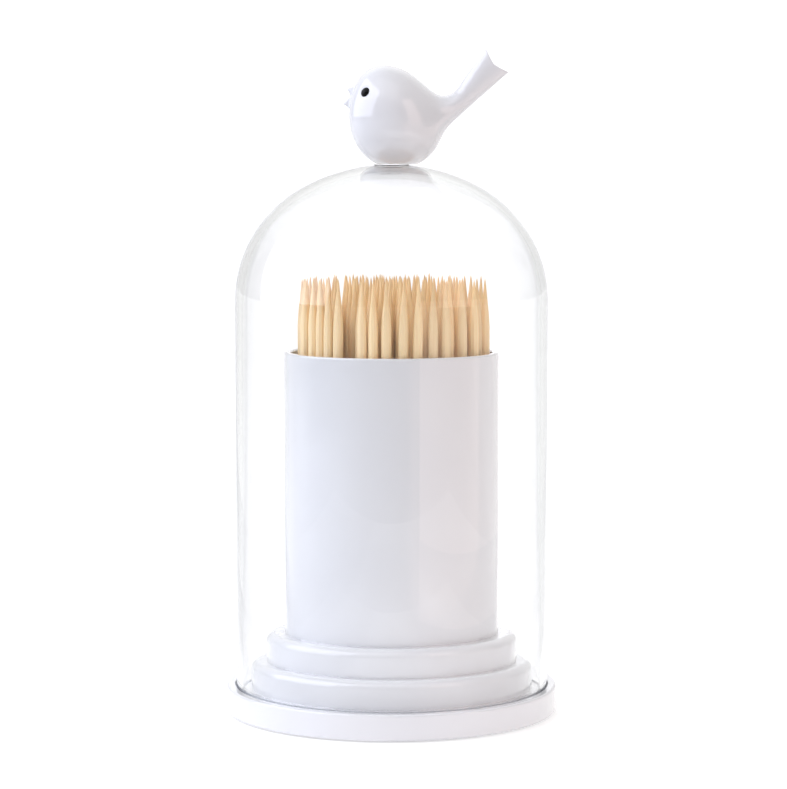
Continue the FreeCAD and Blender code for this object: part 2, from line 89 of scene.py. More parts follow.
def add_node(
    tree: bpy.types.NodeTree,
    kind: str,
    settings: dict[Any, Any] | None = None,
    links: dict[Any, bpy.types.NodeSocket] | None = None,
) -> bpy.types.Node:
    """Add one node to a node tree.

    Args:
        tree: Tree that gets the node.
        kind: Blender's name for the type of node.
        settings: Values by input name or number, or by the name of a property of the node.
        links: Output sockets of other nodes, by the input name or number that they feed.

    Returns:
        The new node.
    """
    node = tree.nodes.new(kind)
    for name, value in (settings or {}).items():
        if isinstance(name, int) or name in node.inputs:
            node.inputs[name].default_value = value
        else:
            setattr(node, name, value)
    for name, socket in (links or {}).items():
        tree.links.new(socket, node.inputs[name])
    return node


# ---- Finishes -----------------------------------------------------------------------------


class Slot(Enum):
    """Material slots of the record."""

    WHITE = "white_gloss"
    DOME = "clear_dome"
    EYE = "black_gloss"
    PICK = "bamboo"
    RING = "soft_ring"
    SCREW = "screw_steel"


@dataclass(frozen=True)
class Finish:
    """What every finish shares: a name that says what it is, and its main values."""

    name: str
    colour: str
    roughness: float

    def surface(self, tree: bpy.types.NodeTree, place: bpy.types.NodeSocket) -> bpy.types.Node:
        """Add the nodes that the finish is made of.

        Args:
            tree: The material's tree.
            place: Place on the piece, in metres.

        Returns:
            The shader of the surface.
        """
        raise NotImplementedError

    def material(self) -> bpy.types.Material:
        """Build the finish as a Blender material.

        Returns:
            The new material, which has the name of the finish.
        """
        material = bpy.data.materials.new(self.name)
        material.use_nodes = True
        tree = material.node_tree
        tree.nodes.clear()
        place = add_node(tree, "ShaderNodeTexCoord").outputs["Object"]
        shader = self.surface(tree, place)
        add_node(tree, "ShaderNodeOutputMaterial", links={"Surface": shader.outputs[0]})
        return material


@dataclass(frozen=True)
class GlossMoulding(Finish):
    """White ABS from a polished mould, lacquered: smooth, with a soft wave in its reflections.

    The long wave is the shrinkage of the wall as it cools. The fine specks are handling marks
    that only break up the shine. The clear lacquer over the white is what gives the sharp part
    of the reflections.
    """

    shade: str = "#DDDEE3"
    wave_mm: float = 16.0
    wave_depth_mm: float = 0.02
    wave_detail: float = 1.0
    speck_mm: float = 1.1
    speck_detail: float = 3.0
    # shares of the roughness where the specks are weakest and where they are strongest
    smoothest: float = 0.8
    roughest: float = 1.25
    ior: float = 1.53
    lacquer: float = 1.0
    lacquer_roughness: float = 0.05

    def surface(self, tree: bpy.types.NodeTree, place: bpy.types.NodeSocket) -> bpy.types.Node:
        """Add the nodes of the lacquered wall.

        Args:
            tree: The material's tree.
            place: Place on the piece, in metres.

        Returns:
            The shader of the surface.
        """
        wave = add_node(tree, "ShaderNodeTexNoise",
                        {"Scale": per_mm(self.wave_mm), "Detail": self.wave_detail},
                        {"Vector": place})
        speck = add_node(tree, "ShaderNodeTexNoise",
                         {"Scale": per_mm(self.speck_mm), "Detail": self.speck_detail},
                         {"Vector": place})
        colour = add_node(tree, "ShaderNodeMix",
                          {"data_type": "RGBA", 6: linear(self.colour), 7: linear(self.shade)},
                          {0: wave.outputs["Fac"]})
        shine = add_node(tree, "ShaderNodeMapRange",
                         {"To Min": self.roughness * self.smoothest,
                          "To Max": self.roughness * self.roughest},
                         {"Value": speck.outputs["Fac"]})
        bump = add_node(tree, "ShaderNodeBump", {"Distance": mm(self.wave_depth_mm)},
                        {"Height": wave.outputs["Fac"]})
        return add_node(
            tree, "ShaderNodeBsdfPrincipled",
            {"IOR": self.ior, "Coat Weight": self.lacquer,
             "Coat Roughness": self.lacquer_roughness},
            {"Base Color": colour.outputs[2], "Roughness": shine.outputs["Result"],
             "Normal": bump.outputs["Normal"]},
        )


@dataclass(frozen=True)
class TexturedMoulding(Finish):
    """The same white ABS from a spark-eroded mould: matt, with a fine even grain underneath."""

    grain_mm: float = 0.35
    grain_depth_mm: float = 0.02
    grain_detail: float = 2.0
    grain_strength: float = 0.8
    roughness_spread: float = 0.08

    def surface(self, tree: bpy.types.NodeTree, place: bpy.types.NodeSocket) -> bpy.types.Node:
        """Add the nodes of the grained wall.

        Args:
            tree: The material's tree.
            place: Place on the piece, in metres.

        Returns:
            The shader of the surface.
        """
        grain = add_node(tree, "ShaderNodeTexNoise",
                         {"Scale": per_mm(self.grain_mm), "Detail": self.grain_detail},
                         {"Vector": place})
        shine = add_node(tree, "ShaderNodeMapRange",
                         {"To Min": self.roughness - self.roughness_spread,
                          "To Max": self.roughness + self.roughness_spread},
                         {"Value": grain.outputs["Fac"]})
        bump = add_node(tree, "ShaderNodeBump",
                        {"Strength": self.grain_strength, "Distance": mm(self.grain_depth_mm)},
                        {"Height": grain.outputs["Fac"]})
        return add_node(
            tree, "ShaderNodeBsdfPrincipled", {"Base Color": linear(self.colour)},
            {"Roughness": shine.outputs["Result"], "Normal": bump.outputs["Normal"]},
        )


@dataclass(frozen=True)
class ClearMoulding(Finish):
    """Clear polystyrene, injection moulded and unpolished afterwards.

    It is colourless and sharp to look through, with a faint ripple that only its highlights
    show. Where the eye looks along the wall, grey is painted into its colour: a painted shade
    that draws the dome's outline.
    Soft light goes straight through, so that what stands inside is lit as in a thin wall.
    """

    # grey painted into the wall where it is seen edge-on: painted shade along the outline
    edge_shade_colour: str = "#E6E8E8"
    # how far the wall can turn from the eye before the painted grey shade begins
    clear_share: float = 0.35
    passed_colour: str = "#FAFBFB"
    ior: float = 1.5
    ripple_mm: float = 9.0
    ripple_depth_mm: float = 0.004
    ripple_detail: float = 1.0

    def surface(self, tree: bpy.types.NodeTree, place: bpy.types.NodeSocket) -> bpy.types.Node:
        """Add the nodes of the clear wall.

        Args:
            tree: The material's tree.
            place: Place on the piece, in metres.

        Returns:
            The shader of the surface, which lets soft light and shadows through.
        """
        ripple = add_node(tree, "ShaderNodeTexNoise",
                          {"Scale": per_mm(self.ripple_mm), "Detail": self.ripple_detail},
                          {"Vector": place})
        bump = add_node(tree, "ShaderNodeBump", {"Distance": mm(self.ripple_depth_mm)},
                        {"Height": ripple.outputs["Fac"]})
        # painted shade: the wall's colour turns grey where it is seen edge-on
        along = add_node(tree, "ShaderNodeLayerWeight")
        edge_shade_mask = add_node(tree, "ShaderNodeMapRange", {"From Min": self.clear_share},
                         {"Value": along.outputs["Facing"]})
        edge_shaded_colour = add_node(tree, "ShaderNodeMix",
                        {"data_type": "RGBA", 6: linear(self.colour), 7: linear(self.edge_shade_colour)},
                        {0: edge_shade_mask.outputs["Result"]})
        glass = add_node(
            tree, "ShaderNodeBsdfPrincipled",
            {"Roughness": self.roughness, "IOR": self.ior, "Transmission Weight": 1.0},
            {"Base Color": edge_shaded_colour.outputs[2], "Normal": bump.outputs["Normal"]},
        )
        passed = add_node(tree, "ShaderNodeBsdfTransparent",
                          {"Color": linear(self.passed_colour)})
        path = add_node(tree, "ShaderNodeLightPath").outputs
        light = add_node(tree, "ShaderNodeMath", {"operation": "MAXIMUM"},
                         {0: path["Is Shadow Ray"], 1: path["Is Diffuse Ray"]})
        return add_node(tree, "ShaderNodeMixShader",
                        links={0: light.outputs[0], 1: glass.outputs[0], 2: passed.outputs[0]})


@dataclass(frozen=True)
class TurnedBamboo(Finish):
    """Bare bamboo, split and turned: pale straw with darker fibres that run along the pick.

    Each pick has a tone of its own, and the sharpened ends are a little browner, where the
    cutter crossed the fibres.
    """

    fibre_colour: str = "#F2CD98"
    cut_colour: str = "#F9D5A0"
    fibre_mm: float = 0.35
    fibre_length_mm: float = 14.0
    fibre_detail: float = 3.0
    fibre_roughness: float = 0.6
    fibre_depth_mm: float = 0.05
    fibre_strength: float = 0.5
    # between which values of the pattern the darker fibre comes in, and how much of it
    streak_from: float = 0.42
    streak_to: float = 0.72
    streak_share: float = 0.55
    tone_spread: float = 0.11
    # how much light enters the wood, and how far its red, green and blue get
    glow_share: float = 0.08
    glow_mm: tuple[float, float, float] = (0.6, 0.35, 0.15)

    def surface(self, tree: bpy.types.NodeTree, place: bpy.types.NodeSocket) -> bpy.types.Node:
        """Add the nodes of the bare wood.

        Args:
            tree: The material's tree.
            place: Place on the piece, in metres.

        Returns:
            The shader of the surface.
        """
        along = add_node(tree, "ShaderNodeMapping",
                         {"Scale": (1.0, 1.0, self.fibre_mm / self.fibre_length_mm)},
                         {"Vector": place})
        fibre = add_node(tree, "ShaderNodeTexNoise",
                         {"Scale": per_mm(self.fibre_mm), "Detail": self.fibre_detail,
                          "Roughness": self.fibre_roughness},
                         {"Vector": along.outputs["Vector"]})
        streak = add_node(tree, "ShaderNodeMapRange",
                          {"From Min": self.streak_from, "From Max": self.streak_to,
                           "To Max": self.streak_share},
                          {"Value": fibre.outputs["Fac"]})
        body = add_node(tree, "ShaderNodeMix",
                        {"data_type": "RGBA", 6: linear(self.colour), 7: linear(self.fibre_colour)},
                        {0: streak.outputs["Result"]})
        cut = add_node(tree, "ShaderNodeAttribute", {"attribute_name": PickBundle.CUT})
        ended = add_node(tree, "ShaderNodeMix", {"data_type": "RGBA", 7: linear(self.cut_colour)},
                         {0: cut.outputs["Fac"], 6: body.outputs[2]})
        tone = add_node(tree, "ShaderNodeAttribute", {"attribute_name": PickBundle.TONE})
        value = add_node(tree, "ShaderNodeMapRange",
                         {"To Min": 1.0 - self.tone_spread, "To Max": 1.0 + self.tone_spread / 2},
                         {"Value": tone.outputs["Fac"]})
        toned = add_node(tree, "ShaderNodeHueSaturation", links={
            "Color": ended.outputs[2], "Value": value.outputs["Result"]})
        bump = add_node(tree, "ShaderNodeBump",
                        {"Strength": self.fibre_strength, "Distance": mm(self.fibre_depth_mm)},
                        {"Height": fibre.outputs["Fac"]})
        return add_node(
            tree, "ShaderNodeBsdfPrincipled",
            {"Roughness": self.roughness, "Subsurface Weight": self.glow_share,
             "Subsurface Radius": tuple(map(mm, self.glow_mm)), "Subsurface Scale": 1.0},
            {"Base Color": toned.outputs["Color"], "Normal": bump.outputs["Normal"]},
        )


@dataclass(frozen=True)
class PaleFloor(Finish):
    """Plain pale matt sheet, with light from behind it where the boxes give less."""

    near_glow: float = 0.0
    far_glow: float = 0.5
    near_mm: float = -100.0
    far_mm: float = 250.0
    glow_colour: str = "#FFFFFF"
    grain_mm: float = 4.0
    roughness_spread: float = 0.05

    def lamps(self, tree: bpy.types.NodeTree, x: bpy.types.NodeSocket,
              y: bpy.types.NodeSocket) -> bpy.types.NodeSocket:
        """Work out how strongly the sheet is lit from behind.

        Args:
            tree: The material's tree.
            x: Distance to the right of the holder.
            y: Distance behind the holder.

        Returns:
            The strength of that light.
        """
        back = add_node(tree, "ShaderNodeMapRange",
                        {"From Min": mm(self.near_mm), "From Max": mm(self.far_mm),
                         "To Min": self.near_glow, "To Max": self.far_glow}, {"Value": y})
        return back.outputs["Result"]

    def surface(self, tree: bpy.types.NodeTree, place: bpy.types.NodeSocket) -> bpy.types.Node:
        """Add the nodes of the sheet.

        Args:
            tree: The material's tree.
            place: Place on the sheet, in metres.

        Returns:
            The shader of the surface.
        """
        grain = add_node(tree, "ShaderNodeTexNoise", {"Scale": per_mm(self.grain_mm)},
                         {"Vector": place})
        shine = add_node(tree, "ShaderNodeMapRange",
                         {"To Min": self.roughness - self.roughness_spread,
                          "To Max": self.roughness + self.roughness_spread},
                         {"Value": grain.outputs["Fac"]})
        away = add_node(tree, "ShaderNodeSeparateXYZ", links={"Vector": place})
        return add_node(
            tree, "ShaderNodeBsdfPrincipled",
            {"Base Color": linear(self.colour), "Emission Color": linear(self.glow_colour)},
            {"Roughness": shine.outputs["Result"],
             "Emission Strength": self.lamps(tree, away.outputs["X"], away.outputs["Y"])},
        )


@dataclass(frozen=True)
class ShootingTable(PaleFloor):
    """Opal acrylic sheet, lit from below most strongly right behind the holder.

    Beside that part it is darker, which is what draws the edges of the clear dome.
    """

    near_glow: float = 0.38
    far_glow: float = 0.48
    near_mm: float = 120.0
    far_mm: float = 600.0
    front_glow: float = 0.08
    front_mm: float = -70.0
    front_fade_mm: float = 40.0
    side_share: float = 0.2
    # half the width of the brightest part at the holder, and how much it widens behind it
    lit_half_mm: float = 78.0
    lit_spread: float = 0.1455
    # shares of that half width between which the light fades
    fade_from: float = 0.98
    fade_to: float = 1.25
    # how much more light there is for each metre to the right
    right_extra: float = 0.6

    def lamps(self, tree: bpy.types.NodeTree, x: bpy.types.NodeSocket,
              y: bpy.types.NodeSocket) -> bpy.types.NodeSocket:
        """Work out how strongly the sheet is lit from behind.

        Args:
            tree: The material's tree.
            x: Distance to the right of the holder.
            y: Distance behind the holder.

        Returns:
            The strength of that light.
        """
        back = super().lamps(tree, x, y)
        aside = add_node(tree, "ShaderNodeMath", {"operation": "ABSOLUTE"}, {0: x})
        half = add_node(tree, "ShaderNodeMath",
                        {"operation": "MULTIPLY_ADD", 1: self.lit_spread, 2: mm(self.lit_half_mm)},
                        {0: y})
        share = add_node(tree, "ShaderNodeMath", {"operation": "DIVIDE"},
                         {0: aside.outputs[0], 1: half.outputs[0]})
        fade = add_node(tree, "ShaderNodeMapRange",
                        {"interpolation_type": "SMOOTHSTEP", "From Min": self.fade_from,
                         "From Max": self.fade_to, "To Min": 1.0, "To Max": self.side_share},
                        {"Value": share.outputs[0]})
        lit = add_node(tree, "ShaderNodeMath", {"operation": "MULTIPLY"},
                       {0: back, 1: fade.outputs["Result"]})
        tilt = add_node(tree, "ShaderNodeMath", {"operation": "MULTIPLY_ADD", 1: self.right_extra},
                        {0: x, 2: lit.outputs[0]})
        front = add_node(tree, "ShaderNodeMapRange",
                         {"interpolation_type": "SMOOTHSTEP", "From Min": mm(self.front_mm),
                          "From Max": mm(self.front_mm - self.front_fade_mm),
                          "To Max": self.front_glow},
                         {"Value": y})
        total = add_node(tree, "ShaderNodeMath", {"operation": "ADD", "use_clamp": True},
                         {0: tilt.outputs[0], 1: front.outputs["Result"]})
        return total.outputs[0]


@dataclass(frozen=True)
class SoftElastomer(Finish):
    """Thermoplastic elastomer: milky grey, dull, and grippy with a leathery fine grain."""

    grain_mm: float = 0.6
    grain_depth_mm: float = 0.03
    grain_strength: float = 0.4
    glow_share: float = 0.15
    glow_mm: float = 1.0

    def surface(self, tree: bpy.types.NodeTree, place: bpy.types.NodeSocket) -> bpy.types.Node:
        """Add the nodes of the soft moulding.

        Args:
            tree: The material's tree.
            place: Place on the piece, in metres.

        Returns:
            The shader of the surface.
        """
        grain = add_node(tree, "ShaderNodeTexVoronoi", {"Scale": per_mm(self.grain_mm)},
                         {"Vector": place})
        bump = add_node(tree, "ShaderNodeBump",
                        {"Strength": self.grain_strength, "Distance": mm(self.grain_depth_mm)},
                        {"Height": grain.outputs["Distance"]})
        return add_node(
            tree, "ShaderNodeBsdfPrincipled",
            {"Base Color": linear(self.colour), "Roughness": self.roughness,
             "Subsurface Weight": self.glow_share, "Subsurface Radius": (mm(self.glow_mm),) * 3,
             "Subsurface Scale": 1.0},
            {"Normal": bump.outputs["Normal"]},
        )


@dataclass(frozen=True)
class PlatedSteel(Finish):
    """Zinc-plated steel: bright grey metal with the faint rings that turning the head left.

    Real rings are much finer, and are drawn as coarse as they need to be to show.
    """

    ring_mm: float = 1.57
    wobble: float = 0.4
    # how much smoother and rougher than the rest the rings get
    smoother: float = 0.06
    rougher: float = 0.1
    # radians that a wave texture of scale 1 turns through in a metre
    TURN: ClassVar[float] = 20.0

    def surface(self, tree: bpy.types.NodeTree, place: bpy.types.NodeSocket) -> bpy.types.Node:
        """Add the nodes of the plated metal.

        Args:
            tree: The material's tree.
            place: Place on the piece, in metres.

        Returns:
            The shader of the surface.
        """
        rings = add_node(tree, "ShaderNodeTexWave",
                         {"wave_type": "RINGS", "rings_direction": "Z",
                          "Scale": per_mm(self.ring_mm) * math.tau / self.TURN,
                          "Distortion": self.wobble},
                         {"Vector": place})
        shine = add_node(tree, "ShaderNodeMapRange",
                         {"To Min": self.roughness - self.smoother,
                          "To Max": self.roughness + self.rougher},
                         {"Value": rings.outputs["Fac"]})
        return add_node(
            tree, "ShaderNodeBsdfPrincipled",
            {"Base Color": linear(self.colour), "Metallic": 1.0},
            {"Roughness": shine.outputs["Result"]},
        )


@dataclass(frozen=True)
class GlassBead(Finish):
    """Black bead, fire polished: nearly black all through, under a hard mirror-like skin."""

    cloud_mm: float = 0.8
    cloud_colour: str = "#0B0C10"
    ior: float = 1.55
    gleam: float = 0.15

    def surface(self, tree: bpy.types.NodeTree, place: bpy.types.NodeSocket) -> bpy.types.Node:
        """Add the nodes of the polished bead.

        Args:
            tree: The material's tree.
            place: Place on the piece, in metres.

        Returns:
            The shader of the surface.
        """
        cloud = add_node(tree, "ShaderNodeTexNoise", {"Scale": per_mm(self.cloud_mm)},
                         {"Vector": place})
        colour = add_node(tree, "ShaderNodeMix",
                          {"data_type": "RGBA", 6: linear(self.colour),
                           7: linear(self.cloud_colour)},
                          {0: cloud.outputs["Fac"]})
        return add_node(
            tree, "ShaderNodeBsdfPrincipled",
            {"Roughness": self.roughness, "IOR": self.ior, "Specular IOR Level": self.gleam},
            {"Base Color": colour.outputs[2]},
        )


# ---- Pieces -------------------------------------------------------------------------------


def dress(node: str, slot: Slot, material: bpy.types.Material) -> None:
    """Give a CAD node its finish.

    Args:
        node: Name of the node.
        slot: Not used.
        material: The finish.
    """
    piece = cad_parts[node]
    piece.data.materials.clear()
    piece.data.materials.append(material)
    log.info("%s keeps its solid, in %s", node, material.name)


def add_piece(
    name: str, mesh: bmesh.types.BMesh, body: str, slot: Slot, material: bpy.types.Material
) -> bpy.types.Object:
    """Turn a bmesh into an object that rides on a body, smooth but for its sharp corners.

    Args:
        name: Name of the new piece.
        mesh: Its shape, in metres, which is freed.
        body: Body that it moves with.
        slot: Not used.
        material: Its finish.

    Returns:
        The new object, at the origin, with its place in its mesh.
    """
    data = bpy.data.meshes.new(name)
    mesh.to_mesh(data)
    mesh.free()
    data.shade_smooth()
    data.set_sharp_from_angle(angle=SHARP)
    data.materials.append(material)
    piece = bpy.data.objects.new(name, data)
    bpy.context.scene.collection.objects.link(piece)
    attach(piece, body)
    log.info("%s: %d faces on %s, in %s", name, len(data.polygons), body, material.name)
    return piece


class Lathe:
    """Pen that draws half a section in the XZ plane, in millimetres, and turns it round +Z."""

    def __init__(self, radius: float, height: float) -> None:
        """Start the section at a radius and a height."""
        self.shape = bmesh.new()
        self.tip = self.shape.verts.new((mm(radius), 0.0, mm(height)))

    def line_to(self, radius: float, height: float) -> None:
        """Draw straight on.

        Args:
            radius: Radius at which the line ends.
            height: Height at which the line ends.
        """
        drawn = bmesh.ops.extrude_vert_indiv(self.shape, verts=[self.tip])
        self.tip = drawn["verts"][0]
        self.tip.co = (mm(radius), 0.0, mm(height))

    def arc(self, radius: float, height: float, degrees: float, steps: int) -> None:
        """Draw an arc round a centre.

        Args:
            radius: Radius at which the arc's centre is.
            height: Height at which the arc's centre is.
            degrees: How far it turns, positive from outwards towards upwards.
            steps: How many straight edges make it up.
        """
        drawn = bmesh.ops.spin(
            self.shape, geom=[self.tip], cent=(mm(radius), 0.0, mm(height)), axis=(0, 1, 0),
            angle=math.radians(-degrees), steps=steps,
        )
        self.tip = drawn["geom_last"][0]

    def turned(self, steps: int) -> bmesh.types.BMesh:
        """Turn the section into a closed solid.

        Args:
            steps: How many steps make up the full turn.

        Returns:
            The solid, with its normals outwards.
        """
        section = self.shape.verts[:] + self.shape.edges[:]
        bmesh.ops.spin(self.shape, geom=section, cent=(0, 0, 0), axis=(0, 0, 1),
                       angle=math.tau, steps=steps, use_merge=True)
        bmesh.ops.remove_doubles(self.shape, verts=self.shape.verts, dist=mm(MERGE_MM))
        bmesh.ops.recalc_face_normals(self.shape, faces=self.shape.faces)
        return self.shape


@dataclass
class SteppedBase:
    """Base moulding with its closing plate, soft ring and the screw that holds the cup."""

    gloss: bpy.types.Material
    plate: TexturedMoulding = TexturedMoulding("Textured white ABS", "#EDEDF0", 0.5)
    ring: SoftElastomer = SoftElastomer("Milky thermoplastic elastomer", "#C9CACD", 0.7)
    screw: PlatedSteel = PlatedSteel("Zinc-plated steel", "#C3C5C8", 0.28)

    def build(self) -> None:
        """Dress the base's solids."""
        dress("base_shell", Slot.WHITE, self.gloss)
        dress("base_plate", Slot.WHITE, self.plate.material())
        dress("anti_slip_ring", Slot.RING, self.ring.material())
        dress("cup_screw", Slot.SCREW, self.screw.material())


@dataclass
class PickCup:
    """Straight white cup that the toothpicks stand in."""

    gloss: bpy.types.Material

    def build(self) -> None:
        """Dress the cup's solid."""
        dress("pick_cup", Slot.WHITE, self.gloss)


@dataclass
class ClearDome:
    """Clear dome that lifts off by its bird, turned finely enough for smooth highlights."""

    clear: ClearMoulding = ClearMoulding("Clear moulded polystyrene", "#FFFFFF", 0.0)
    outer_r: float = 31.1
    wall: float = 1.5
    foot: float = 3.0
    top: float = 109.0
    crown_r: float = 36.7
    shoulder_r: float = 25.5
    edge_r: float = 0.4
    land_r: float = 3.5
    peg_r: float = 1.8
    peg_h: float = 3.6
    peg_chamfer: float = 0.4
    steps: int = 192
    crown_steps: int = 24
    shoulder_steps: int = 32
    edge_steps: int = 6

    def build(self) -> None:
        """Turn the dome with its peg and the small land that the bird stands on."""
        inset = self.outer_r - self.shoulder_r
        inner_r = self.outer_r - self.wall
        crown_z = self.top - self.crown_r
        shoulder_z = crown_z + math.sqrt((self.crown_r - self.shoulder_r) ** 2 - inset ** 2)
        join = math.degrees(math.atan2(shoulder_z - crown_z, inset))
        land = math.acos(self.land_r / self.crown_r)
        peg_top = self.top + self.peg_h

        pen = Lathe(0.0, peg_top)
        pen.line_to(self.peg_r - self.peg_chamfer, peg_top)
        pen.line_to(self.peg_r, peg_top - self.peg_chamfer)
        pen.line_to(self.peg_r, self.top)
        pen.line_to(self.land_r, self.top)
        pen.line_to(self.land_r, crown_z + self.crown_r * math.sin(land))
        pen.arc(0.0, crown_z, join - math.degrees(land), self.crown_steps)
        pen.arc(inset, shoulder_z, -join, self.shoulder_steps)
        pen.line_to(self.outer_r, self.foot + self.edge_r)
        pen.arc(self.outer_r - self.edge_r, self.foot + self.edge_r, -90.0, self.edge_steps)
        pen.line_to(inner_r, self.foot)
        pen.line_to(inner_r, shoulder_z)
        pen.arc(inset, shoulder_z, join, self.shoulder_steps)
        pen.arc(0.0, crown_z, 90.0 - join, self.crown_steps)
        piece = add_piece("clear_dome", pen.turned(self.steps), "dome_lid", Slot.DOME,
                          self.clear.material())
        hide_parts("dome")


@dataclass
class SoftSpot:
    """Place on the bird where the mould's edges run softly into each other."""

    centre_mm: tuple[float, float, float]
    reach_mm: float
    passes: int

    def verts(self, skin: bmesh.types.BMesh) -> list[bmesh.types.BMVert]:
        """Vertices of the skin that are within reach."""
        centre = Vector(map(mm, self.centre_mm))
        return [vert for vert in skin.verts if (vert.co - centre).length < mm(self.reach_mm)]


@dataclass
class Pull:
    """Place on the bird that is drawn forwards, by about what the softening takes off it."""

    centre_mm: tuple[float, float, float]
    reach_mm: float
    forwards_mm: float

    def apply(self, skin: bmesh.types.BMesh) -> None:
        """Draw the skin forwards, most at the centre and nothing at the edge of the reach.

        Args:
            skin: The bird's skin, in metres.
        """
        centre = Vector(map(mm, self.centre_mm))
        for vert in skin.verts:
            share = (vert.co - centre).length / mm(self.reach_mm)
            if share < 1:
                vert.co.x -= mm(self.forwards_mm) * (1 - share ** 2) ** 2


@dataclass
class BirdKnob:
    """Plump bird with an open beak and a forked tail, in two halves, with bead eyes."""

    gloss: bpy.types.Material
    bead: GlassBead = GlassBead("Black glass bead", "#050507", 0.05)
    weld_mm: float = 0.002
    voxel_mm: float = 0.14
    # how far a vertex goes towards its neighbours in a pass, and out again after it
    ease: float = 0.5
    regrow: float = -0.52
    passes: int = 8
    pulls: tuple[Pull, ...] = (
        Pull((-9.3, 0.0, 121.1), 1.5, 0.2),
        Pull((-8.5, 0.0, 124.1), 1.3, 0.1),
    )
    spots: tuple[SoftSpot, ...] = (
        SoftSpot((-7.6, 0.0, 122.4), 2.6, 2),
        SoftSpot((-5.3, -5.5, 123.1), 1.5, 120),
        SoftSpot((-5.3, 5.5, 123.1), 1.5, 120),
    )

    def skin(self) -> bpy.types.Mesh:
        """Wrap the two halves in one even skin and soften its edges.

        Returns:
            The skin as a mesh, in metres.
        """
        raw = bmesh.new()
        for side in ("left", "right"):
            raw.from_mesh(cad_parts[f"bird_{side}"].data)
        bmesh.ops.remove_doubles(raw, verts=raw.verts, dist=mm(self.weld_mm))
        data = bpy.data.meshes.new("bird_block")
        raw.to_mesh(data)
        raw.free()
        block = bpy.data.objects.new("bird_block", data)
        bpy.context.scene.collection.objects.link(block)
        wrap = block.modifiers.new("wrap", "REMESH")
        wrap.mode = "VOXEL"
        wrap.voxel_size = mm(self.voxel_mm)
        wrapped = block.evaluated_get(bpy.context.evaluated_depsgraph_get())

        skin = bmesh.new()
        skin.from_mesh(wrapped.to_mesh())
        for pull in self.pulls:
            pull.apply(skin)
        # takes the small steps out of the skin, and pushes it out again by as much
        for _ in range(self.passes):
            self.smooth(skin, skin.verts[:], self.ease)
            self.smooth(skin, skin.verts[:], self.regrow)
        for spot in self.spots:
            near = spot.verts(skin)
            for _ in range(spot.passes):
                self.smooth(skin, near, self.ease)
        bpy.data.objects.remove(block)
        skin.to_mesh(data)
        skin.free()
        return data

    @staticmethod
    def smooth(skin: bmesh.types.BMesh, verts: list[bmesh.types.BMVert], factor: float) -> None:
        """Move some vertices of the skin towards their neighbours, or away by a minus factor."""
        bmesh.ops.smooth_vert(skin, verts=verts, factor=factor,
                              use_axis_x=True, use_axis_y=True, use_axis_z=True)

    def half(self, skin: bpy.types.Mesh, side: str, outwards: int) -> None:
        """Cut one half out of the skin, closed along the parting plane.

        Args:
            skin: The whole bird's skin.
            side: Side that the half is on, left or right.
            outwards: -1 for the half on the -Y side, 1 for the other one.
        """
        mesh = bmesh.new()
        mesh.from_mesh(skin)
        cut = bmesh.ops.bisect_plane(
            mesh, geom=mesh.verts[:] + mesh.edges[:] + mesh.faces[:], dist=mm(MERGE_MM),
            plane_co=(0, 0, 0), plane_no=(0, outwards, 0), clear_inner=True,
        )
        rim = [item for item in cut["geom_cut"] if isinstance(item, bmesh.types.BMEdge)]
        bmesh.ops.holes_fill(mesh, edges=rim, sides=0)
        bmesh.ops.recalc_face_normals(mesh, faces=mesh.faces)
        piece = add_piece(f"bird_{side}_half", mesh, "dome_lid", Slot.WHITE, self.gloss)
        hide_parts(f"bird_{side}")

    def build(self) -> None:
        """Build the bird's two halves and dress its eyes."""
        skin = self.skin()
        black = self.bead.material()
        for side, outwards in (("left", -1), ("right", 1)):
            self.half(skin, side, outwards)
            dress(f"eye_{side}", Slot.EYE, black)
        bpy.data.meshes.remove(skin)


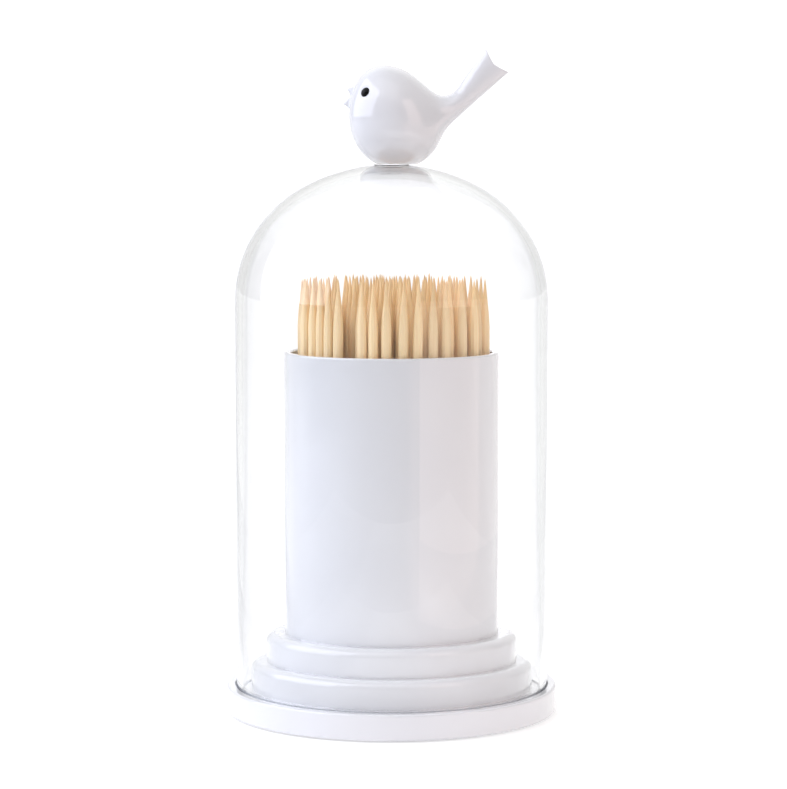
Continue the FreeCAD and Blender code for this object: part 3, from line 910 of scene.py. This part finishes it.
@dataclass
class PickBundle:
    """Toothpicks with long cut points, standing where the solids stand."""

    CUT: ClassVar[str] = "cut_end"
    TONE: ClassVar[str] = "pick_tone"

    wood: TurnedBamboo = TurnedBamboo("Turned bare bamboo", "#FFE4B6", 0.5)
    length_mm: float = 65.0
    radius_mm: float = 1.0
    sides: int = 10
    # how thick the pick is along its sharpened end: distance from the tip and share of full width
    point_mm: tuple[tuple[float, float], ...] = (
        (0.0, 0.0), (0.9, 0.18), (3.3, 0.44), (5.7, 0.71), (7.5, 0.89), (9.5, 1.0),
    )
    thinnest: float = 0.93
    longest: float = 1.006
    seed: int = 4
    dice: random.Random = field(init=False)

    def __post_init__(self) -> None:
        """Seed the small differences between picks."""
        self.dice = random.Random(self.seed)

    def axes(self, node: str) -> Iterator[tuple[Vector, Vector]]:
        """Find where each pick of a CAD node stands.

        Args:
            node: Name of the node.

        Yields:
            The foot and the tip of each pick, in metres.
        """
        solid = bmesh.new()
        solid.from_mesh(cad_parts[node].data)
        bmesh.ops.remove_doubles(solid, verts=solid.verts, dist=mm(MERGE_MM))
        waiting = set(solid.verts)
        while waiting:
            pick = [waiting.pop()]
            for vert in pick:
                for edge in vert.link_edges:
                    other = edge.other_vert(vert)
                    if other in waiting:
                        waiting.remove(other)
                        pick.append(other)
            pick.sort(key=lambda vert: vert.co.z)
            yield pick[0].co.copy(), pick[-1].co.copy()
        solid.free()

    def turned_pick(self) -> bmesh.types.BMesh:
        """Spin one pick from its half section.

        Returns:
            The pick standing on the origin, with how much each vertex is cut away.
        """
        pick = bmesh.new()
        cut = pick.verts.layers.float.new(self.CUT)
        line = []
        tip_end = [(self.length_mm - away, share) for away, share in reversed(self.point_mm)]
        for height, share in (*self.point_mm, *tip_end):
            vert = pick.verts.new((mm(self.radius_mm) * share, 0.0, mm(height)))
            vert[cut] = 1.0 - share
            line.append(vert)
        edges = [pick.edges.new(pair) for pair in zip(line, line[1:])]
        bmesh.ops.spin(pick, geom=line + edges, cent=(0, 0, 0), axis=(0, 0, 1),
                       angle=math.tau, steps=self.sides, use_merge=True)
        bmesh.ops.remove_doubles(pick, verts=pick.verts, dist=mm(MERGE_MM))
        bmesh.ops.recalc_face_normals(pick, faces=pick.faces)
        return pick

    def stand(
        self, picks: bmesh.types.BMesh, one: bpy.types.Mesh, foot: Vector, tip: Vector
    ) -> None:
        """Add a pick to the bundle.

        Args:
            picks: The bundle so far.
            one: Mesh of one upright pick on the origin.
            foot: Where its lower point stands.
            tip: Where its upper point is.
        """
        known = len(picks.verts)
        picks.from_mesh(one)
        picks.verts.ensure_lookup_table()
        verts = picks.verts[known:]
        turn = Matrix.Rotation(self.dice.uniform(0, math.tau), 4, "Z")
        width = self.dice.uniform(self.thinnest, 1.0)
        edge_shade_mask = self.dice.uniform(self.thinnest, 1.0)
        slim = Matrix.Diagonal((width, edge_shade_mask, self.dice.uniform(1.0, self.longest), 1.0))
        lean = Vector((0, 0, 1)).rotation_difference(tip - foot).to_matrix().to_4x4()
        stance = Matrix.Translation(foot) @ lean @ turn @ slim
        bmesh.ops.transform(picks, matrix=stance, verts=verts)
        tone = self.dice.random()
        layer = picks.verts.layers.float[self.TONE]
        for vert in verts:
            vert[layer] = tone

    def build(self) -> None:
        """Build the bundle and the pick that comes out by itself."""
        material = self.wood.material()
        master = self.turned_pick()
        one = bpy.data.meshes.new("one_pick")
        master.to_mesh(one)
        master.free()
        for node, name, body in (
            ("toothpicks", "bamboo_picks", "pick_bundle"),
            ("first_pick", "bamboo_first_pick", "loose_pick"),
        ):
            picks = bmesh.new()
            picks.verts.layers.float.new(self.CUT)
            picks.verts.layers.float.new(self.TONE)
            for foot, tip in sorted(self.axes(node), key=lambda axis: tuple(axis[0])):
                self.stand(picks, one, foot, tip)
            piece = add_piece(name, picks, body, Slot.PICK, material)
            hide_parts(node)
        bpy.data.meshes.remove(one)


# ---- Studio -------------------------------------------------------------------------------


@dataclass
class SoftBox:
    """Rectangular lamp that looks at a point of the holder."""

    name: str
    colour: str
    radiance: float
    place_mm: tuple[float, float, float]
    size_mm: tuple[float, float]
    aim_mm: tuple[float, float, float] = (0.0, 0.0, 60.0)

    def build(self) -> None:
        """Make the lamp, with its power worked out from its brightness and its area."""
        lamp = bpy.data.lights.new(self.name, "AREA")
        lamp.shape = "RECTANGLE"
        lamp.size, lamp.size_y = map(mm, self.size_mm)
        lamp.color = linear(self.colour)[:3]
        lamp.energy = self.radiance * math.pi * lamp.size * lamp.size_y
        holder = bpy.data.objects.new(self.name, lamp)
        place = Vector(map(mm, self.place_mm))
        towards = Vector(map(mm, self.aim_mm)) - place
        turn = towards.to_track_quat("-Z", "Y").to_matrix().to_4x4()
        holder.matrix_world = Matrix.Translation(place) @ turn
        bpy.context.scene.collection.objects.link(holder)


@dataclass
class Studio:
    """Pale floor, narrow lit sheet, soft boxes, bright surroundings and the camera."""

    eye_mm: tuple[float, float, float] = (0.38, -536.7, 111.05)
    pitch_down: float = 5.083
    lens: float = 123.45
    clip_mm: float = 20.0
    floor_mm: float = 6000.0
    floor: PaleFloor = PaleFloor("Pale matt floor", "#BEBEBE", 0.6)
    floor_drop_mm: float = 1.0
    table: ShootingTable = ShootingTable("Opal acrylic sweep", "#DCDCDC", 0.6)
    table_width_mm: float = 400.0
    table_front_mm: float = 240.0
    table_back_mm: float = 600.0
    table_bend_mm: float = 200.0
    table_steps: int = 16
    room_colour: str = "#FFFFFF"
    room_light: float = 0.25
    # extra light of the backdrop and of the ceiling, and how squarely one has to look at them,
    # as the sine of the angle, for it to begin and to be full
    backdrop_light: float = 0.65
    backdrop_from: float = 0.2
    backdrop_to: float = 0.965
    ceiling_light: float = 0.6
    ceiling_from: float = 0.15
    ceiling_to: float = 0.9
    boxes: tuple[SoftBox, ...] = (
        SoftBox("Left_box", "#EBEEFF", 2.2, (-600, -120, 405), (900, 740), (0, 0, 90)),
        SoftBox("Right_box", "#FFE2D9", 0.6, (194, -60, 48), (365, 90), (94, 40, 48)),
        SoftBox("Window_box", "#FFE2D9", 1.1, (222, -212, 200), (150, 260), (0, 0, 118)),
        SoftBox("Front_box", "#FFFFFF", 0.35, (-100, -420, 800), (800, 700)),
    )

    def build(self) -> None:
        """Make the floor, table, lights and camera."""
        self.build_floor()
        self.build_table()
        self.build_surroundings()
        for box in self.boxes:
            box.build()
        self.build_camera()

    @staticmethod
    def add_stage(name: str, mesh: bmesh.types.BMesh, material: bpy.types.Material) -> None:
        """Turn a bmesh into a part of the stage.

        Args:
            name: Name of the object.
            mesh: Its shape, in metres, which is freed.
            material: Its finish.
        """
        data = bpy.data.meshes.new(name)
        mesh.to_mesh(data)
        mesh.free()
        data.shade_smooth()
        data.materials.append(material)
        piece = bpy.data.objects.new(name, data)
        bpy.context.scene.collection.objects.link(piece)

    def build_floor(self) -> None:
        """Lay a plain pale floor, a little below the table top that the holder stands on."""
        mesh = bmesh.new()
        lower = Matrix.Translation((0, 0, -mm(self.floor_drop_mm)))
        bmesh.ops.create_grid(mesh, x_segments=1, y_segments=1, size=mm(self.floor_mm),
                              matrix=lower)
        self.add_stage("Floor", mesh, self.floor.material())

    def build_table(self) -> None:
        """Bend a plain opal sheet up behind the holder.

        It is narrow, because the darker room beside it is what draws the edges of the dome.
        """
        mesh = bmesh.new()
        half = mm(self.table_width_mm / 2)
        bend = mm(self.table_bend_mm)
        turn_y = mm(self.table_back_mm) - bend
        line = [mesh.verts.new((-half, y, 0.0)) for y in (-mm(self.table_front_mm), turn_y)]
        mesh.edges.new(line)
        bmesh.ops.spin(mesh, geom=[line[-1]], cent=(0, turn_y, bend), axis=(1, 0, 0),
                       angle=math.radians(90), steps=self.table_steps)
        sheet = bmesh.ops.extrude_edge_only(mesh, edges=mesh.edges[:])
        moved = [item for item in sheet["geom"] if isinstance(item, bmesh.types.BMVert)]
        bmesh.ops.translate(mesh, verts=moved, vec=(2 * half, 0, 0))
        bmesh.ops.recalc_face_normals(mesh, faces=mesh.faces)
        self.add_stage("Table", mesh, self.table.material())

    def build_surroundings(self) -> None:
        """Light the room evenly, with a bright backdrop and a bright ceiling."""
        world = bpy.data.worlds.new("Studio")
        bpy.context.scene.world = world
        world.use_nodes = True
        tree = world.node_tree
        tree.nodes.clear()
        way = add_node(tree, "ShaderNodeTexCoord").outputs["Generated"]
        parts = add_node(tree, "ShaderNodeSeparateXYZ", links={"Vector": way})
        backdrop = add_node(tree, "ShaderNodeMapRange",
                            {"interpolation_type": "SMOOTHSTEP",
                             "From Min": self.backdrop_from, "From Max": self.backdrop_to,
                             "To Min": self.room_light,
                             "To Max": self.room_light + self.backdrop_light},
                            {"Value": parts.outputs["Y"]})
        ceiling = add_node(tree, "ShaderNodeMapRange",
                           {"interpolation_type": "SMOOTHSTEP",
                            "From Min": self.ceiling_from, "From Max": self.ceiling_to,
                            "To Max": self.ceiling_light},
                           {"Value": parts.outputs["Z"]})
        level = add_node(tree, "ShaderNodeMath", {"operation": "ADD"},
                         {0: backdrop.outputs["Result"], 1: ceiling.outputs["Result"]})
        light = add_node(tree, "ShaderNodeBackground", {"Color": linear(self.room_colour)},
                         {"Strength": level.outputs[0]})
        add_node(tree, "ShaderNodeOutputWorld", links={"Surface": light.outputs[0]})

    def build_camera(self) -> None:
        """Put the camera in front of the holder, a little above its middle, looking down."""
        data = bpy.data.cameras.new("Camera")
        data.lens = self.lens
        data.clip_start = mm(self.clip_mm)
        camera = bpy.data.objects.new("Camera", data)
        camera.location = tuple(map(mm, self.eye_mm))
        camera.rotation_euler = (math.radians(90 - self.pitch_down), 0, 0)
        bpy.context.scene.collection.objects.link(camera)
        bpy.context.scene.camera = camera


# ---- All together -------------------------------------------------------------------------


def main() -> None:
    """Build the sub-assemblies in order, then the studio."""
    bpy.context.scene.view_settings.view_transform = "Standard"
    gloss = GlossMoulding("Gloss white ABS", "#E3E4E8", 0.14).material()
    SteppedBase(gloss).build()
    PickCup(gloss).build()
    PickBundle().build()
    ClearDome().build()
    BirdKnob(gloss).build()
    Studio().build()


if __name__ == "__main__":
    main()
